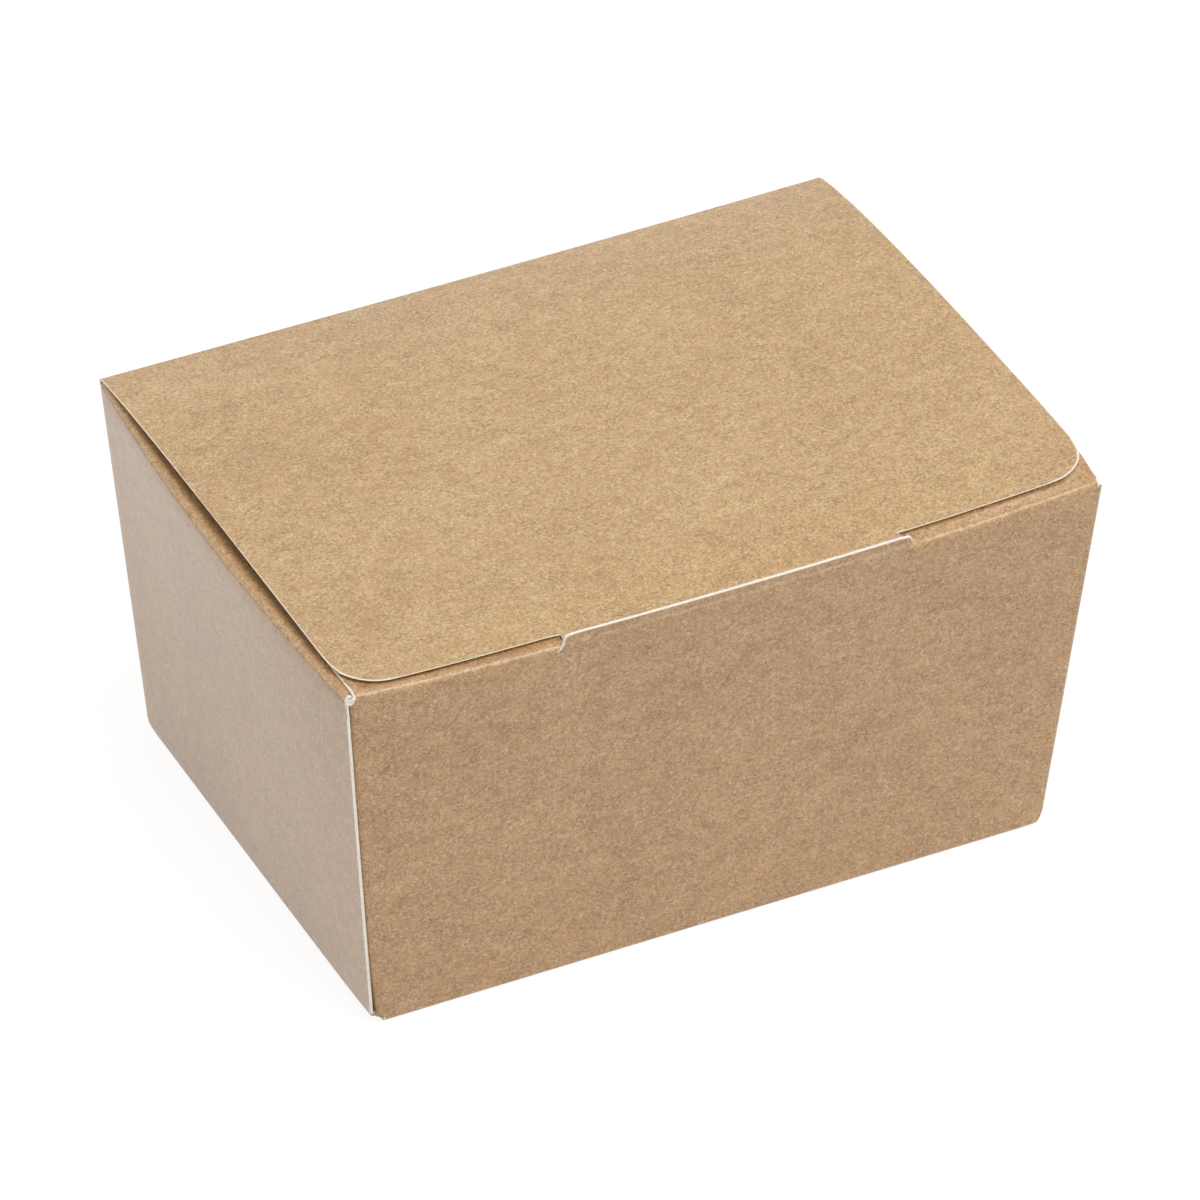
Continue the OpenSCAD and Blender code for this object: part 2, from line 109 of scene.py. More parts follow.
KRAFT, INNER, EDGE = range(3)           # material slots of a piece of board
SHARP = math.radians(42)                # faces that meet at more than this are shaded apart


def mix(a, b, f):
    return a + (b - a) * f


def wide(s):
    return s in (BACK, FRONT)


# v is a height on the wall, 0 at the floor and 1 at the top; u goes from -1 to 1 along a wall
def half_w(v):
    return mix(BASE_W, TOP_W, v) / 2


def half_d(v):
    return mix(BASE_D, TOP_D, v) / 2


def across(s, v):
    return half_w(v) if wide(s) else half_d(v)


def seam_out(v):
    return mix(SEAM_FOOT, SEAM_PROUD, math.sqrt(max(0, v)))


def groove(v):
    return GROOVE * max(0, 1 - v / GROOVE_TOP) ** 2


def proud(s, along, v):
    """How far a side wall stands out further towards its front corner."""
    if s in (LEFT, TAB):
        return seam_out(v) * (1 - along / half_d(v)) / 2
    return CORNER_PROUD * v * (1 + along / half_d(v)) / 2 if s == RIGHT else 0


def reach(s, v, along):
    inset = BOARD + GLUE + groove(v) if s == TAB else 0
    return (half_d(v) if wide(s) else half_w(v)) + proud(s, along, v) - inset


def start_at(s, v):
    return -across(s, v) + (0 if s == LEFT else FOLD_R) - (CORNER_PROUD * v if s == FRONT else 0)


def end_at(s, v):
    if s == TAB:
        return -across(s, v) + TAB_W
    return across(s, v) - FOLD_R + (seam_out(v) - BOARD - GLUE - groove(v) if s == FRONT else 0)


def bow(s):
    return FRONT_BOW if s == FRONT else 0 if s == BACK else SIDE_BOW


def belly(s, along, v):
    return bow(s) * max(0, 1 - (along / (across(s, v) - FOLD_R)) ** 2) * v * v


def foot_z(s, u):
    """The left wall's foot rises to the seam, and the feet are rounded off at the other three corners."""
    if s == TAB:
        return TAB_FOOT
    z = FOLD_R + (0 if wide(s) else BOARD + GLUE)
    if s == LEFT and u < 0:
        k = (1 - u) / 2
        return z + LEFT_FOOT_RISE * (k ** 1.5 + k ** 20)
    if s == LEFT:
        z += LEFT_FOOT_RISE * ((1 - u) / 2) ** 1.5
    if s == FRONT and u > 0:
        return z
    return z + (ROUND_WIDE if wide(s) else ROUND_SIDE) * abs(u) ** 60


def top_z(s, u):
    if s == BACK:
        return HINGE_Z - HINGE_DROP
    if s == TAB:
        return HEIGHT - FOLD_R - (TAB_CUT if u > -1 else 0)
    if s == FRONT:
        return HEIGHT - FOLD_R - FRONT_DIP * (1 - u ** 4)
    drop = RIGHT_DROP if s == RIGHT else -SEAM_STUB if u <= STUB_U else LEFT_DROP
    return HEIGHT - FOLD_R - drop - SIDE_DIP * (1 - u * u)


def wall_point(s, u, z, depth):
    v = z / HEIGHT
    along = mix(start_at(s, v), end_at(s, v), (u + 1) / 2)
    out = reach(s, v, along) + belly(s, along, v) - depth
    xy = along * OUT[s + 1] + out * OUT[s]
    return np.array([xy[0], xy[1], z])


def corner_point(s, angle, f, depth):
    a = math.radians(angle)
    rim = mix(top_z(s, 1), top_z(s + 1, -1), angle / 90) + CORNER_EAR * math.sin(2 * a)
    foot = mix(foot_z(s, 1), foot_z(s + 1, -1), angle / 90)
    if s != FRONT:
        foot += CORNER_ROUND * math.sin(2 * a)
    z = mix(foot, rim, f)
    v = z / HEIGHT
    r = FOLD_R - depth
    xy = ((reach(s, v, across(s, v)) - FOLD_R + r * math.cos(a)) * OUT[s]
          + (reach(s + 1, v, -across(s + 1, v)) - FOLD_R + r * math.sin(a)) * OUT[s + 1])
    return np.array([xy[0], xy[1], z])


def fold_point(s, u, turn, up, depth):
    """A point turned inward by turn degrees at the wall's top (up = 1) or foot (up = -1)."""
    z = top_z(s, u) if up > 0 else foot_z(s, u)
    root = wall_point(s, u, z, FOLD_R)
    a = math.radians(turn)
    r = FOLD_R - depth
    xy = r * math.cos(a) * OUT[s]
    return root + np.array([xy[0], xy[1], up * r * math.sin(a)])


def rounded(x, half, r):
    """How far a corner of radius r falls back at x, on an edge from -half to half."""
    over = max(0, abs(x) - half + r)
    return r - math.sqrt(max(0, r * r - over * over))


def flap_len(s):
    return FRONT_FLAP if s == FRONT else DUST_FLAP


def flap_rise(s, u, q):
    if s == FRONT:
        # It comes up under the lid and stops just short of it
        x = -u * (TOP_W / 2 - FOLD_R)
        y = FOLD_R + q - TOP_D / 2 - belly(FRONT, x, 1)
        up = lid_z(x, y) - BOARD / 2 - LID_GAP - top_z(s, u) - FOLD_R
        f = min(1, q / (LID_SETBACK + RISE_RUN + RISE_END * max(0, -u) ** 16))
        return up * f * f * (3 - 2 * f)
    if s == LEFT:
        return -q * math.tan(math.radians(LEFT_FALL))
    return q * math.tan(math.radians(RIGHT_RISE)) * (1 - u * u) ** 3


def flap_edge(s):
    return (FRONT_NOTCH, FRONT_SLANT) if s == FRONT else (FLAP_NOTCH, FLAP_SLANT)


def flap_point(s, u, q, depth):
    """A point q millimetres in from the wall's fold."""
    root = fold_point(s, u, 90, 1, depth)
    notch, slant = flap_edge(s)
    inset = notch * min(1, q / notch) + q * math.tan(math.radians(slant))
    if s == FRONT and u < 0:
        inset -= RIGHT_FLARE * min(1, q)
    xy = -q * OUT[s] - u * inset * OUT[s + 1]
    return root + np.array([xy[0], xy[1], flap_rise(s, u, q)])


def flap_q(s, u, f):
    half = across(s, 1) - FOLD_R
    notch, slant = flap_edge(s)
    tip = half - notch - flap_len(s) * math.tan(math.radians(slant))
    full = flap_len(s) - rounded(u * tip, tip, FLAP_CORNER)
    return mix(SLIT_D - FOLD_R, full, f)


LIP_U = LIP_W / (TOP_W - 2 * FOLD_R)
CUT_U = LIP_U + 2 * LIP_CUT / TOP_W
SEAM_U = -1 + 2 * SEAM_RELIEF / TOP_D
STUB_U = mix(-1, SEAM_U, STUB_SHARE)
TAB_U = -1 + 2 * TAB_STEP / (TAB_W - FOLD_R)


def lip_spread(s, u, h):
    # The die cut at the lip's ends flares out in a small curve at its foot
    if s != FRONT:
        return u
    rest = max(0, 1 - abs(h) / (FLARE_FADE if h < 0 else LIP_H + FOLD_R))
    shift = 2 * (LIP_FLARE if u > 0 else LIP_FLARE_RIGHT) * rest ** 3 / TOP_W
    slide = 2 * (LIP_SLIDE + LIP_SKEW * u) * (1 - u * u) / TOP_W
    if abs(u) <= LIP_U:
        return u * (1 + shift / LIP_U) - slide
    k = (1 - abs(u)) / (1 - LIP_U)
    return math.copysign(abs(u) + shift * k, u) - slide


def even(n, top=1.0):
    return [top * (-1 + 2 * i / n) for i in range(n + 1)]


def shares(s):
    """Where the mesh columns lie along a wall."""
    if s == LEFT:
        return [-1.0, STUB_U] + [mix(SEAM_U, 1, i / SIDE_N) for i in range(SIDE_N + 1)]
    if s == FRONT:
        shoulder = [mix(-1, -CUT_U, i / SHOULDER_N) for i in range(SHOULDER_N + 1)]
        flat = 1 - 2 * LIP_CORNER / LIP_W
        corner = [mix(1, flat, 1 - math.cos(math.radians(a))) for a in LIP_CORNER_ANGLES]
        lip = [-c for c in corner] + even(LIP_N, flat) + corner[::-1]
        end = [-1 + 2 * d / TOP_W for d in END_STEPS]
        return [-1.0] + end + shoulder[1:] + [LIP_U * c for c in lip] + [-c for c in shoulder[::-1]]
    if s == TAB:
        return [-1.0] + [mix(TAB_U, 1, i / TAB_N) for i in range(TAB_N + 1)]
    return even(BACK_N if s == BACK else SIDE_N)


def in_lip(c):
    return c[0] == FRONT and not c[2] and abs(c[1]) < (LIP_U + CUT_U) / 2


def lip_point(u, row, depth):
    share = 1 if row[0] == SLIT else row[1] * LIP_MIDDLE
    low = rounded(u * LIP_W / (2 * LIP_U), LIP_W / 2, LIP_CORNER)
    h = (FOLD_R + LIP_H - low) * share
    return wall_point(FRONT, lip_spread(FRONT, u, h), top_z(FRONT, u) + h, depth)


def blank_point(c, row, depth):
    s, u, corner = c
    part, f = row
    if corner:
        return corner_point(s, u, 0 if part < WALL else 1 if part > WALL else f, depth)
    if part == SOLE:
        p = fold_point(s, u, 90, -1, depth)
        xy = SOLE_W * (OUT[s] + u * OUT[s + 1])
        return p - np.array([xy[0], xy[1], 0])
    if part == HEEL:
        return fold_point(s, u, 90 * f, -1, depth)
    if part == WALL:
        z = mix(foot_z(s, u), top_z(s, u), f)
        return wall_point(s, lip_spread(s, u, z - top_z(s, u)), z, depth)
    if in_lip(c) and (part == FOLD or (f < 1 and part == SLIT)):
        return lip_point(u, row, depth)
    if part == FOLD:
        return fold_point(s, lip_spread(s, u, FOLD_R * f), 90 * f, 1, depth)
    if part == SLIT:
        q = (SLIT_D - FOLD_R) * f
        return flap_point(s, lip_spread(s, u, FOLD_R + q), q, depth)
    return flap_point(s, u, flap_q(s, u, f), depth)


columns = []
for wall in range(5):
    columns += [(wall, u, False) for u in shares(wall)]
    if wall != TAB:
        columns += [(wall, 90 * i / (ARC_N + 1), True) for i in range(1, ARC_N + 1)]
rows = [(SOLE, 1)] + [(HEEL, i / ARC_N) for i in range(ARC_N, 0, -1)]
rows += [(WALL, i / WALL_N) for i in range(WALL_N + 1)] + [(FOLD, i / ARC_N) for i in range(1, ARC_N + 1)]
rows += [(SLIT, 0.5), (SLIT, 1)] + [(FLAP, i / FLAP_N) for i in range(1, FLAP_N + 1)]


def has_board(a, b, low, high):
    """Whether the blank has board between columns a and b and rows low and high."""
    same = a[0] == b[0] and not a[2] and not b[2] and not (a[0] == LEFT and a[1] <= STUB_U)
    flap = same and a[0] in (LEFT, RIGHT, FRONT)
    if low[0] < WALL:
        return same and a[0] != TAB
    if high[0] == WALL:
        return True
    if high[0] == FLAP:
        return flap
    if high[0] == SLIT and high[1] == 1:
        return flap and not in_lip(a) and not in_lip(b)
    return flap and in_lip(a) == in_lip(b)


def sheet(outside, inside, cells, worn=None, under=None, closed=None):
    """Closed sheet of board: the outer face, the inner face, and raw edges where the board stops.
    worn(i, j) says how far the outer face is scuffed along a fold there, under(i, j) how far a raw
    edge is drawn in at the inner face, as the die crushes it, and closed(a, b) which raw edges are
    pressed shut, so that no core shows."""
    m, n = len(outside), len(outside[0])
    bm = bmesh.new()
    scuff = bm.verts.layers.float.new("scuff")
    top = [[None] * n for _ in range(m)]
    low = [[None] * n for _ in range(m)]

    def vert(grid, points, i, j):
        if grid[i][j] is None:
            grid[i][j] = bm.verts.new([float(x) * MM for x in points[i][j]])
            grid[i][j][scuff] = worn(i, j) if worn else 0.0
        return grid[i][j]

    def cell(i, j):
        return 0 <= i < m - 1 and 0 <= j < n - 1 and cells[i][j]

    def tucked(i, j):
        near = [(a, b) for a in (i - 1, i) for b in (j - 1, j) if cell(a, b)]
        if len(near) in (0, 4) or not under or not under(i, j):
            return inside[i][j]
        corners = [inside[a + c][b + d] for a, b in near for c in (0, 1) for d in (0, 1)]
        middle = sum(corners) / len(corners)
        way = 2 * (middle - inside[i][j])
        return inside[i][j] + way * min(under(i, j) / np.linalg.norm(way), UNDERCUT_MOST)

    drawn = [[tucked(i, j) for j in range(n)] for i in range(m)]

    def face(corners, slot):
        f = bm.faces.new(corners)
        f.material_index = slot
        f.smooth = slot != EDGE

    for i in range(m - 1):
        for j in range(n - 1):
            if not cell(i, j):
                continue
            ring = [(i, j), (i + 1, j), (i + 1, j + 1), (i, j + 1)]
            face([vert(top, outside, *k) for k in ring[::-1]], KRAFT)
            face([vert(low, drawn, *k) for k in ring], INNER)
            beside = [(i, j - 1), (i + 1, j), (i, j + 1), (i - 1, j)]
            for k in range(4):
                if not cell(*beside[k]):
                    a, b = ring[k], ring[(k + 1) % 4]
                    face([vert(top, outside, *a), vert(top, outside, *b),
                          vert(low, drawn, *b), vert(low, drawn, *a)],
                         KRAFT if closed and closed(a, b) else EDGE)
    return bm


def raw_edges(bm):
    """Rounds the arris between the board's faces and its raw edges, in the colour of the core."""
    edges = [e for e in bm.edges if len(e.link_faces) == 2
             and (e.link_faces[0].material_index == EDGE) != (e.link_faces[1].material_index == EDGE)]
    bmesh.ops.bevel(bm, geom=edges, offset=ARRIS * MM, segments=3, profile=0.6, affect="EDGES",
                    material=EDGE, clamp_overlap=False)
    bmesh.ops.remove_doubles(bm, verts=bm.verts, dist=MERGE * MM)
    bmesh.ops.dissolve_degenerate(bm, dist=MERGE * MM, edges=bm.edges)


def finish_mesh(name, bm, materials, rim_min=0.0):
    """Object of the mesh. Its layer "rim" says how many millimetres each point lies from the nearest
    raw edge, for the pale rub along it, which is partly a painted highlight."""
    bmesh.ops.recalc_face_normals(bm, faces=bm.faces)
    core_verts = {v for f in bm.faces if f.material_index == EDGE for v in f.verts}
    tree = kdtree.KDTree(len(core_verts))
    for k, v in enumerate(core_verts):
        tree.insert(v.co, k)
    tree.balance()
    rim = bm.verts.layers.float.new("rim")
    for v in bm.verts:
        near = tree.find(v.co)[2] / MM if core_verts else RIM_FAR
        v[rim] = 0.0 if v in core_verts else max(rim_min, near)
    for e in bm.edges:
        if len(e.link_faces) == 2:
            a, b = (f.material_index for f in e.link_faces)
            e.smooth = a == b and e.calc_face_angle() < SHARP
    mesh = bpy.data.meshes.new(name)
    bm.to_mesh(mesh)
    bm.free()
    obj = bpy.data.objects.new(name, mesh)
    bpy.context.scene.collection.objects.link(obj)
    for m in materials:
        mesh.materials.append(m)
    return obj


def lid_z(x, y):
    """Height of the middle of the lid's board: it springs up from the fold and sinks at its front middle."""
    run = (HINGE_Y - y) / LID_LEN
    side = x / LID_W + 0.5
    back = mix(BACK_LEFT, BACK_RIGHT, max(0, side) ** BACK_CURVE)
    lift = mix(back, mix(LIFT_LEFT, LIFT_RIGHT, side), 1 - math.exp(-run / SPRING))
    pull = LID_SINK * (1 - abs(2 * x / LID_W) ** 3) * run ** 8
    return HINGE_Z + lift * (1 - SETTLE * run ** 3) - pull


TONGUE_OUT = reach(FRONT, 1, 0) + belly(FRONT, TONGUE_W / 2, 1) - BOARD - LIP_CLEAR
SWING_R = TONGUE_OUT + HINGE_Y


def lid_x_out(x, run, down=0):
    return x * (1 + 2 * LID_FLARE * run / LID_W - 2 * TONGUE_TAPER * down / TONGUE_W)


def lid_point(x, row, depth):
    part, f = row
    half = BOARD / 2 - depth
    if part == PANEL:
        y = mix(LID_START, LID_FRONT + rounded(x, LID_W / 2, LID_CORNER), f)
        return np.array([lid_x_out(x, (HINGE_Y - y) / LID_LEN), y, lid_z(x, y) + half])
    x_out = lid_x_out(x, 1, f if part == TONGUE else 0)
    root = lid_z(x, LID_FRONT) + BOARD / 2
    r = TONGUE_BEND - depth
    bend_y = -TONGUE_OUT + TONGUE_BEND
    if part == BEND:
        a = math.radians(90 * f)
        return np.array([x_out, bend_y - r * math.sin(a), root - TONGUE_BEND + r * math.cos(a)])
    # The tongue follows a circle about the hinge
    z = root - TONGUE_BEND - f * (TONGUE_LEN - rounded(x, TONGUE_W / 2, TONGUE_CORNER))
    return np.array([x_out, bend_y - r + SWING_R - math.sqrt(SWING_R ** 2 - (HINGE_Z - z) ** 2), z])


# Procedural materials
class Nodes:
    """Short names for the nodes that the board's materials share."""

    def __init__(self, name):
        self.mat = bpy.data.materials.new(name)
        self.mat.use_nodes = True
        self.tree = self.mat.node_tree
        self.tree.nodes.clear()
        self.coord = self.make("ShaderNodeTexCoord").outputs["Object"]

    def make(self, kind, **settings):
        n = self.tree.nodes.new(kind)
        for key, value in settings.items():
            setattr(n, key, value)
        return n

    def put(self, socket, value):
        if isinstance(value, bpy.types.NodeSocket):
            self.tree.links.new(value, socket)
        else:
            socket.default_value = value

    def math(self, op, a, b=0.0):
        n = self.make("ShaderNodeMath", operation=op)
        self.put(n.inputs[0], a)
        self.put(n.inputs[1], b)
        return n.outputs[0]

    def mapped(self, scale, offset=(0, 0, 0)):
        n = self.make("ShaderNodeMapping")
        self.put(n.inputs["Vector"], self.coord)
        n.inputs["Scale"].default_value = scale
        n.inputs["Location"].default_value = offset
        return n.outputs[0]

    def noise(self, scale, detail=2.0, rough=0.5, distort=0.0, coord=None):
        n = self.make("ShaderNodeTexNoise", noise_dimensions="3D")
        self.put(n.inputs["Vector"], coord or self.coord)
        n.inputs["Scale"].default_value = scale
        n.inputs["Detail"].default_value = detail
        n.inputs["Roughness"].default_value = rough
        n.inputs["Distortion"].default_value = distort
        return n.outputs["Fac"]

    def spread(self, value, low, high, out_low=0.0, out_high=1.0):
        n = self.make("ShaderNodeMapRange", interpolation_type="SMOOTHSTEP")
        self.put(n.inputs["Value"], value)
        for key, v in (("From Min", low), ("From Max", high), ("To Min", out_low), ("To Max", out_high)):
            n.inputs[key].default_value = v
        return n.outputs["Result"]

    def ramp(self, value, *stops):
        n = self.make("ShaderNodeValToRGB")
        self.put(n.inputs[0], value)
        e = n.color_ramp.elements
        (e[0].position, e[0].color), (e[1].position, e[1].color) = stops[0], stops[-1]
        for at, colour in stops[1:-1]:
            e.new(at).color = colour
        return n.outputs[0]

    def attribute(self, name):
        return self.make("ShaderNodeAttribute", attribute_name=name).outputs["Fac"]

    def blend(self, factor, a, b):
        n = self.make("ShaderNodeMix", data_type="RGBA", blend_type="MIX")
        self.put(n.inputs["Factor"], factor)
        self.put(n.inputs["A"], a)
        self.put(n.inputs["B"], b)
        return n.outputs["Result"]

    def shader(self, colour, roughness, height=None, strength=0.0, distance=0.0):
        out = self.make("ShaderNodeOutputMaterial")
        bsdf = self.make("ShaderNodeBsdfPrincipled")
        self.put(bsdf.inputs["Base Color"], colour)
        self.put(bsdf.inputs["Roughness"], roughness)
        if height is not None:
            bump = self.make("ShaderNodeBump")
            bump.inputs["Strength"].default_value = strength
            bump.inputs["Distance"].default_value = distance
            self.put(bump.inputs["Height"], height)
            self.tree.links.new(bump.outputs[0], bsdf.inputs["Normal"])
        self.tree.links.new(bsdf.outputs[0], out.inputs[0])
        return bsdf


def srgb(r, g, b):
    return tuple(c / 255 / 12.92 if c <= 10 else ((c / 255 + 0.055) / 1.055) ** 2.4
                 for c in (r, g, b)) + (1.0,)


# Colours of the board: the kraft face's dark, middle and light tone on the walls and the lid, in two
# painted copies of one board, lighter on the lid for the light its top catches and darker on the walls
# for their shade, its tint, fibres, specks and wear, the pale rub along raw edges, which is partly a
# painted highlight, and the two tones of the inner face and of the core
WALL_TONES_SHADED = (srgb(154, 114, 70), srgb(190, 151, 105), srgb(220, 183, 139))
LID_TONES_LIT = (srgb(160, 122, 76), srgb(195, 160, 110), srgb(225, 193, 145))
WARM_TINT, SPECK = srgb(204, 156, 112), srgb(120, 82, 46)
PALE_FIBRE, BROWN_FIBRE = srgb(236, 211, 172), srgb(128, 88, 50)
# RUB_AND_HIGHLIGHT: the pale band along raw edges, partly worn core and partly a painted highlight where the
# edge catches light
SCUFFED, RUB_AND_HIGHLIGHT = srgb(228, 200, 160), srgb(246, 236, 218)
INNER_TONES = (srgb(222, 213, 197), srgb(243, 238, 228))
CORE_TONES = (srgb(240, 228, 208), srgb(254, 250, 242))
ROUGH, COAT_WEIGHT, COAT_ROUGH, COAT_IOR = 0.36, 0.75, 0.32, 1.3


def curls(n, scale, width, share, offset):
    """Short curly fibres: thin level lines of one noise, kept where another is high."""
    at = n.mapped((0.7, 1, 1), offset)
    line = n.math("ABSOLUTE", n.math("SUBTRACT", n.noise(scale, 2.0, 0.45, 0.5, at), 0.5))
    thin = n.spread(line, width * 0.35, width, 1.0, 0.0)
    where = n.noise(scale * 1.9, 1.0, 0.5, 0, n.mapped((1, 1, 1), [o + 3.1 for o in offset]))
    return n.math("MULTIPLY", thin, n.spread(where, share, share + 0.05))


def kraft_material(name, dark, base, light):
    """Unbleached board: a cloudy, grainy brown with short pale and dark fibres, pale where it is worn, and a
    pale rub along raw edges that is partly a painted highlight.
    """
    n = Nodes(name)
    clouds = n.noise(42, 3, 0.55)
    mottle = n.noise(380, 3, 0.6, 0.3, n.mapped((0.7, 1, 1)))
    grain = n.noise(2100, 2, 0.65, 0.2, n.mapped((0.75, 1, 1)))
    fine = n.noise(4300, 2, 0.6, 0.0, n.mapped((0.8, 1, 1), (0.4, 0.9, 0.1)))
    tone = 0.5
    for texture, share in ((clouds, 0.18), (mottle, 0.42), (grain, 0.85), (fine, 0.85)):
        tone = n.math("ADD", n.math("MULTIPLY", n.math("SUBTRACT", texture, 0.5), share), tone)
    colour = n.ramp(tone, (0.25, dark), (0.5, base), (0.75, light))
    warm = n.spread(n.noise(260, 2, 0.5, 0.4, n.mapped((1, 1, 1), (3.3, 6.1, 0.5))), 0.42, 0.6)
    colour = n.blend(n.math("MULTIPLY", warm, 0.25), colour, WARM_TINT)

    pale = n.math("MAXIMUM", curls(n, 640, 0.030, 0.53, (0.3, 0.1, 0.7)),
                  curls(n, 900, 0.038, 0.55, (1.3, 2.1, 0.2)))
    brown = n.math("MAXIMUM", curls(n, 760, 0.030, 0.52, (5.3, 1.1, 2.7)),
                   curls(n, 1150, 0.040, 0.53, (2.3, 4.1, 0.9)))
    speck = n.spread(n.noise(1700, 1, 0.5, 0, n.mapped((1, 1, 1), (7.1, 0.3, 1.9))), 0.69, 0.73)
    for mark, strength, tint in ((pale, 0.42, PALE_FIBRE), (brown, 0.46, BROWN_FIBRE), (speck, 0.5, SPECK)):
        colour = n.blend(n.math("MULTIPLY", mark, strength), colour, tint)

    # Scuffs along the folds, and the pale rub beside a raw edge, partly worn core and partly a painted
    # highlight
    worn = n.attribute("scuff")
    torn = n.math("ADD", n.math("MULTIPLY", n.noise(900, 4, 0.65), 0.8), n.math("MULTIPLY", worn, 0.5))
    ragged = n.spread(torn, 0.78, 0.92)
    colour = n.blend(n.math("MULTIPLY", n.math("MULTIPLY", ragged, worn), 0.5), colour, SCUFFED)
    rim = n.math("ADD", n.attribute("rim"), n.math("MULTIPLY", n.noise(1200, 2), 0.08))
    rub_and_highlight = n.spread(rim, 0.16, 0.22, 1.0, 0.0)
    colour = n.blend(n.math("MULTIPLY", rub_and_highlight, 0.9), colour, RUB_AND_HIGHLIGHT)

    height = n.math("ADD", n.math("MULTIPLY", grain, 0.6), n.math("MULTIPLY", mottle, 0.4))
    bsdf = n.shader(colour, n.spread(grain, 0.3, 0.7, ROUGH - 0.04, ROUGH + 0.06), height, 0.22, 0.00008)
    bsdf.inputs["Coat Weight"].default_value = COAT_WEIGHT
    bsdf.inputs["Coat Roughness"].default_value = COAT_ROUGH
    bsdf.inputs["Coat IOR"].default_value = COAT_IOR
    return n.mat


def inner_material():
    """The board's plain white inner face."""
    n = Nodes("board_inside")
    grain = n.noise(1500, 3, 0.65, 0.3)
    tone = n.math("ADD", n.math("MULTIPLY", grain, 0.6), n.math("MULTIPLY", n.noise(60, 3, 0.5), 0.4))
    colour = n.ramp(tone, (0.3, INNER_TONES[0]), (0.7, INNER_TONES[1]))
    n.shader(colour, n.spread(grain, 0.3, 0.7, 0.62, 0.75), grain, 0.2, 0.0001)
    return n.mat


def edge_material():
    """The pale core that shows at the cut edges."""
    n = Nodes("board_core")
    n.shader(n.ramp(n.noise(1800, 2, 0.6), (0.28, CORE_TONES[0]), (0.55, CORE_TONES[1])), 0.7)
    return n.mat


inner, core = inner_material(), edge_material()
# Two copies of one kraft: painted lighter on the lid for the light on its top, darker on the walls for their
# shade
WALL_BOARD_SHADED = [kraft_material("kraft_board", *WALL_TONES_SHADED), inner, core]
LID_BOARD_LIT = [kraft_material("kraft_lid", *LID_TONES_LIT), inner, core]

# The folded blank
outside = [[blank_point(c, row, 0) for row in rows] for c in columns]
inside = [[blank_point(c, row, BOARD) for row in rows] for c in columns]
cells = [[has_board(columns[i], columns[i + 1], rows[j], rows[j + 1]) for j in range(len(rows) - 1)]
         for i in range(len(columns) - 1)]


CORNER_WEAR, FOLD_FADE = 0.4, {HEEL: 0.5, FOLD: 0.6}


def fold_wear(i, j):
    if columns[i][2]:
        return CORNER_WEAR
    part, f = rows[j]
    return 1 - abs(2 * f - 1) * FOLD_FADE[part] if part in FOLD_FADE else 0.0


def flap_under(i, j):
    return UNDERCUT if rows[j][0] == FLAP and columns[i][0] != FRONT else 0


SAME_U = 0.0001          # columns closer than this along a wall are the same


def pressed(a, b):
    """Raw edges that don't show their core: the flap's side of the cut round the lip, the lip's right
    side, the front flap's right side, the left fold's end under the curl, the back wall's top, which
    the lid goes on from, and the feet of the corners and of the seam."""
    (s, u, corner), side = columns[a[0]], a[0] == b[0]
    low, high = sorted((rows[a[1]], rows[b[1]]))
    if corner or columns[b[0]][2] or s in (BACK, TAB):
        return high[0] <= WALL
    if not side:
        return s == FRONT and low == high == (WALL, 1)
    cut = abs(abs(u) - CUT_U) < SAME_U
    return ((s == FRONT and high[0] >= FOLD and (cut or abs(u + LIP_U) < SAME_U))
            or (s == FRONT and high[0] >= SLIT and u == -1)
            or (s == LEFT and high[0] >= FOLD and abs(u - SEAM_U) < SAME_U)
            or (s == LEFT and high[0] <= HEEL))


bm = sheet(outside, inside, cells, fold_wear, flap_under, pressed)
raw_edges(bm)
blank = finish_mesh("folded_blank", bm, WALL_BOARD_SHADED)
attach(blank, "carton")


# The board just beside the slit's ends, which the lip's flared foot leaves open
SLIT_ENDS = (("left", 0.4515, 0.4925), ("right", -0.5035, -0.466))      # from where to where along the wall
END_N, END_TOP, END_UNDER = 4, 0.04, 0.4                                # how deep its faces lie in the board
END_IN = (1.05, 2.1, 3.2)                                               # its rows' ways in from the fold


def slit_end_point(u, row, depth):
    part, f = row
    return fold_point(FRONT, u, 90 * f, 1, depth) if part == FOLD else flap_point(FRONT, u, f, depth)


end_rows = [(FOLD, i / ARC_N) for i in range(ARC_N + 1)] + [(FLAP, q) for q in END_IN]
for name, u0, u1 in SLIT_ENDS:
    end_u = [mix(u0, u1, i / END_N) for i in range(END_N + 1)]
    outside = [[slit_end_point(u, row, END_TOP) for row in end_rows] for u in end_u]
    inside = [[slit_end_point(u, row, END_UNDER) for row in end_rows] for u in end_u]
    bm = sheet(outside, inside, [[True] * (len(end_rows) - 1) for _ in range(END_N)])
    piece = finish_mesh(f"slit_end_{name}", bm, [LID_BOARD_LIT[0]] * 3)
    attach(piece, "carton")


def loft(rings):
    """Closed mesh through rings of points, with a fan at each end."""
    bm = bmesh.new()
    made = [[bm.verts.new([float(x) * MM for x in p]) for p in ring] for ring in rings]
    for a, b in zip(made, made[1:]):
        for k in range(len(a)):
            bm.faces.new([a[k], a[(k + 1) % len(a)], b[(k + 1) % len(a)], b[k]])
    for ring in (made[0][::-1], made[-1]):
        bm.faces.new(ring)
    for f in bm.faces:
        f.smooth = True
    return bm


def angles(n):
    return np.linspace(0, 2 * math.pi, n, False)


def lens(at, side, along, thick, tilt, power, n):
    """Rings of a lens about the point at: side and along are half its width and length, thick half its
    thickness. Its first and last ring lie tilt degrees from the rim, and a small power makes it flatter."""
    rings = []
    for i in range(LENS_N + 1):
        t = math.radians(mix(-tilt, tilt, i / LENS_N))
        size = math.cos(t) ** power
        rings.append([at + size * (math.cos(b) * side + math.sin(b) * along) + math.sin(t) * thick
                      for b in angles(n)])
    return rings


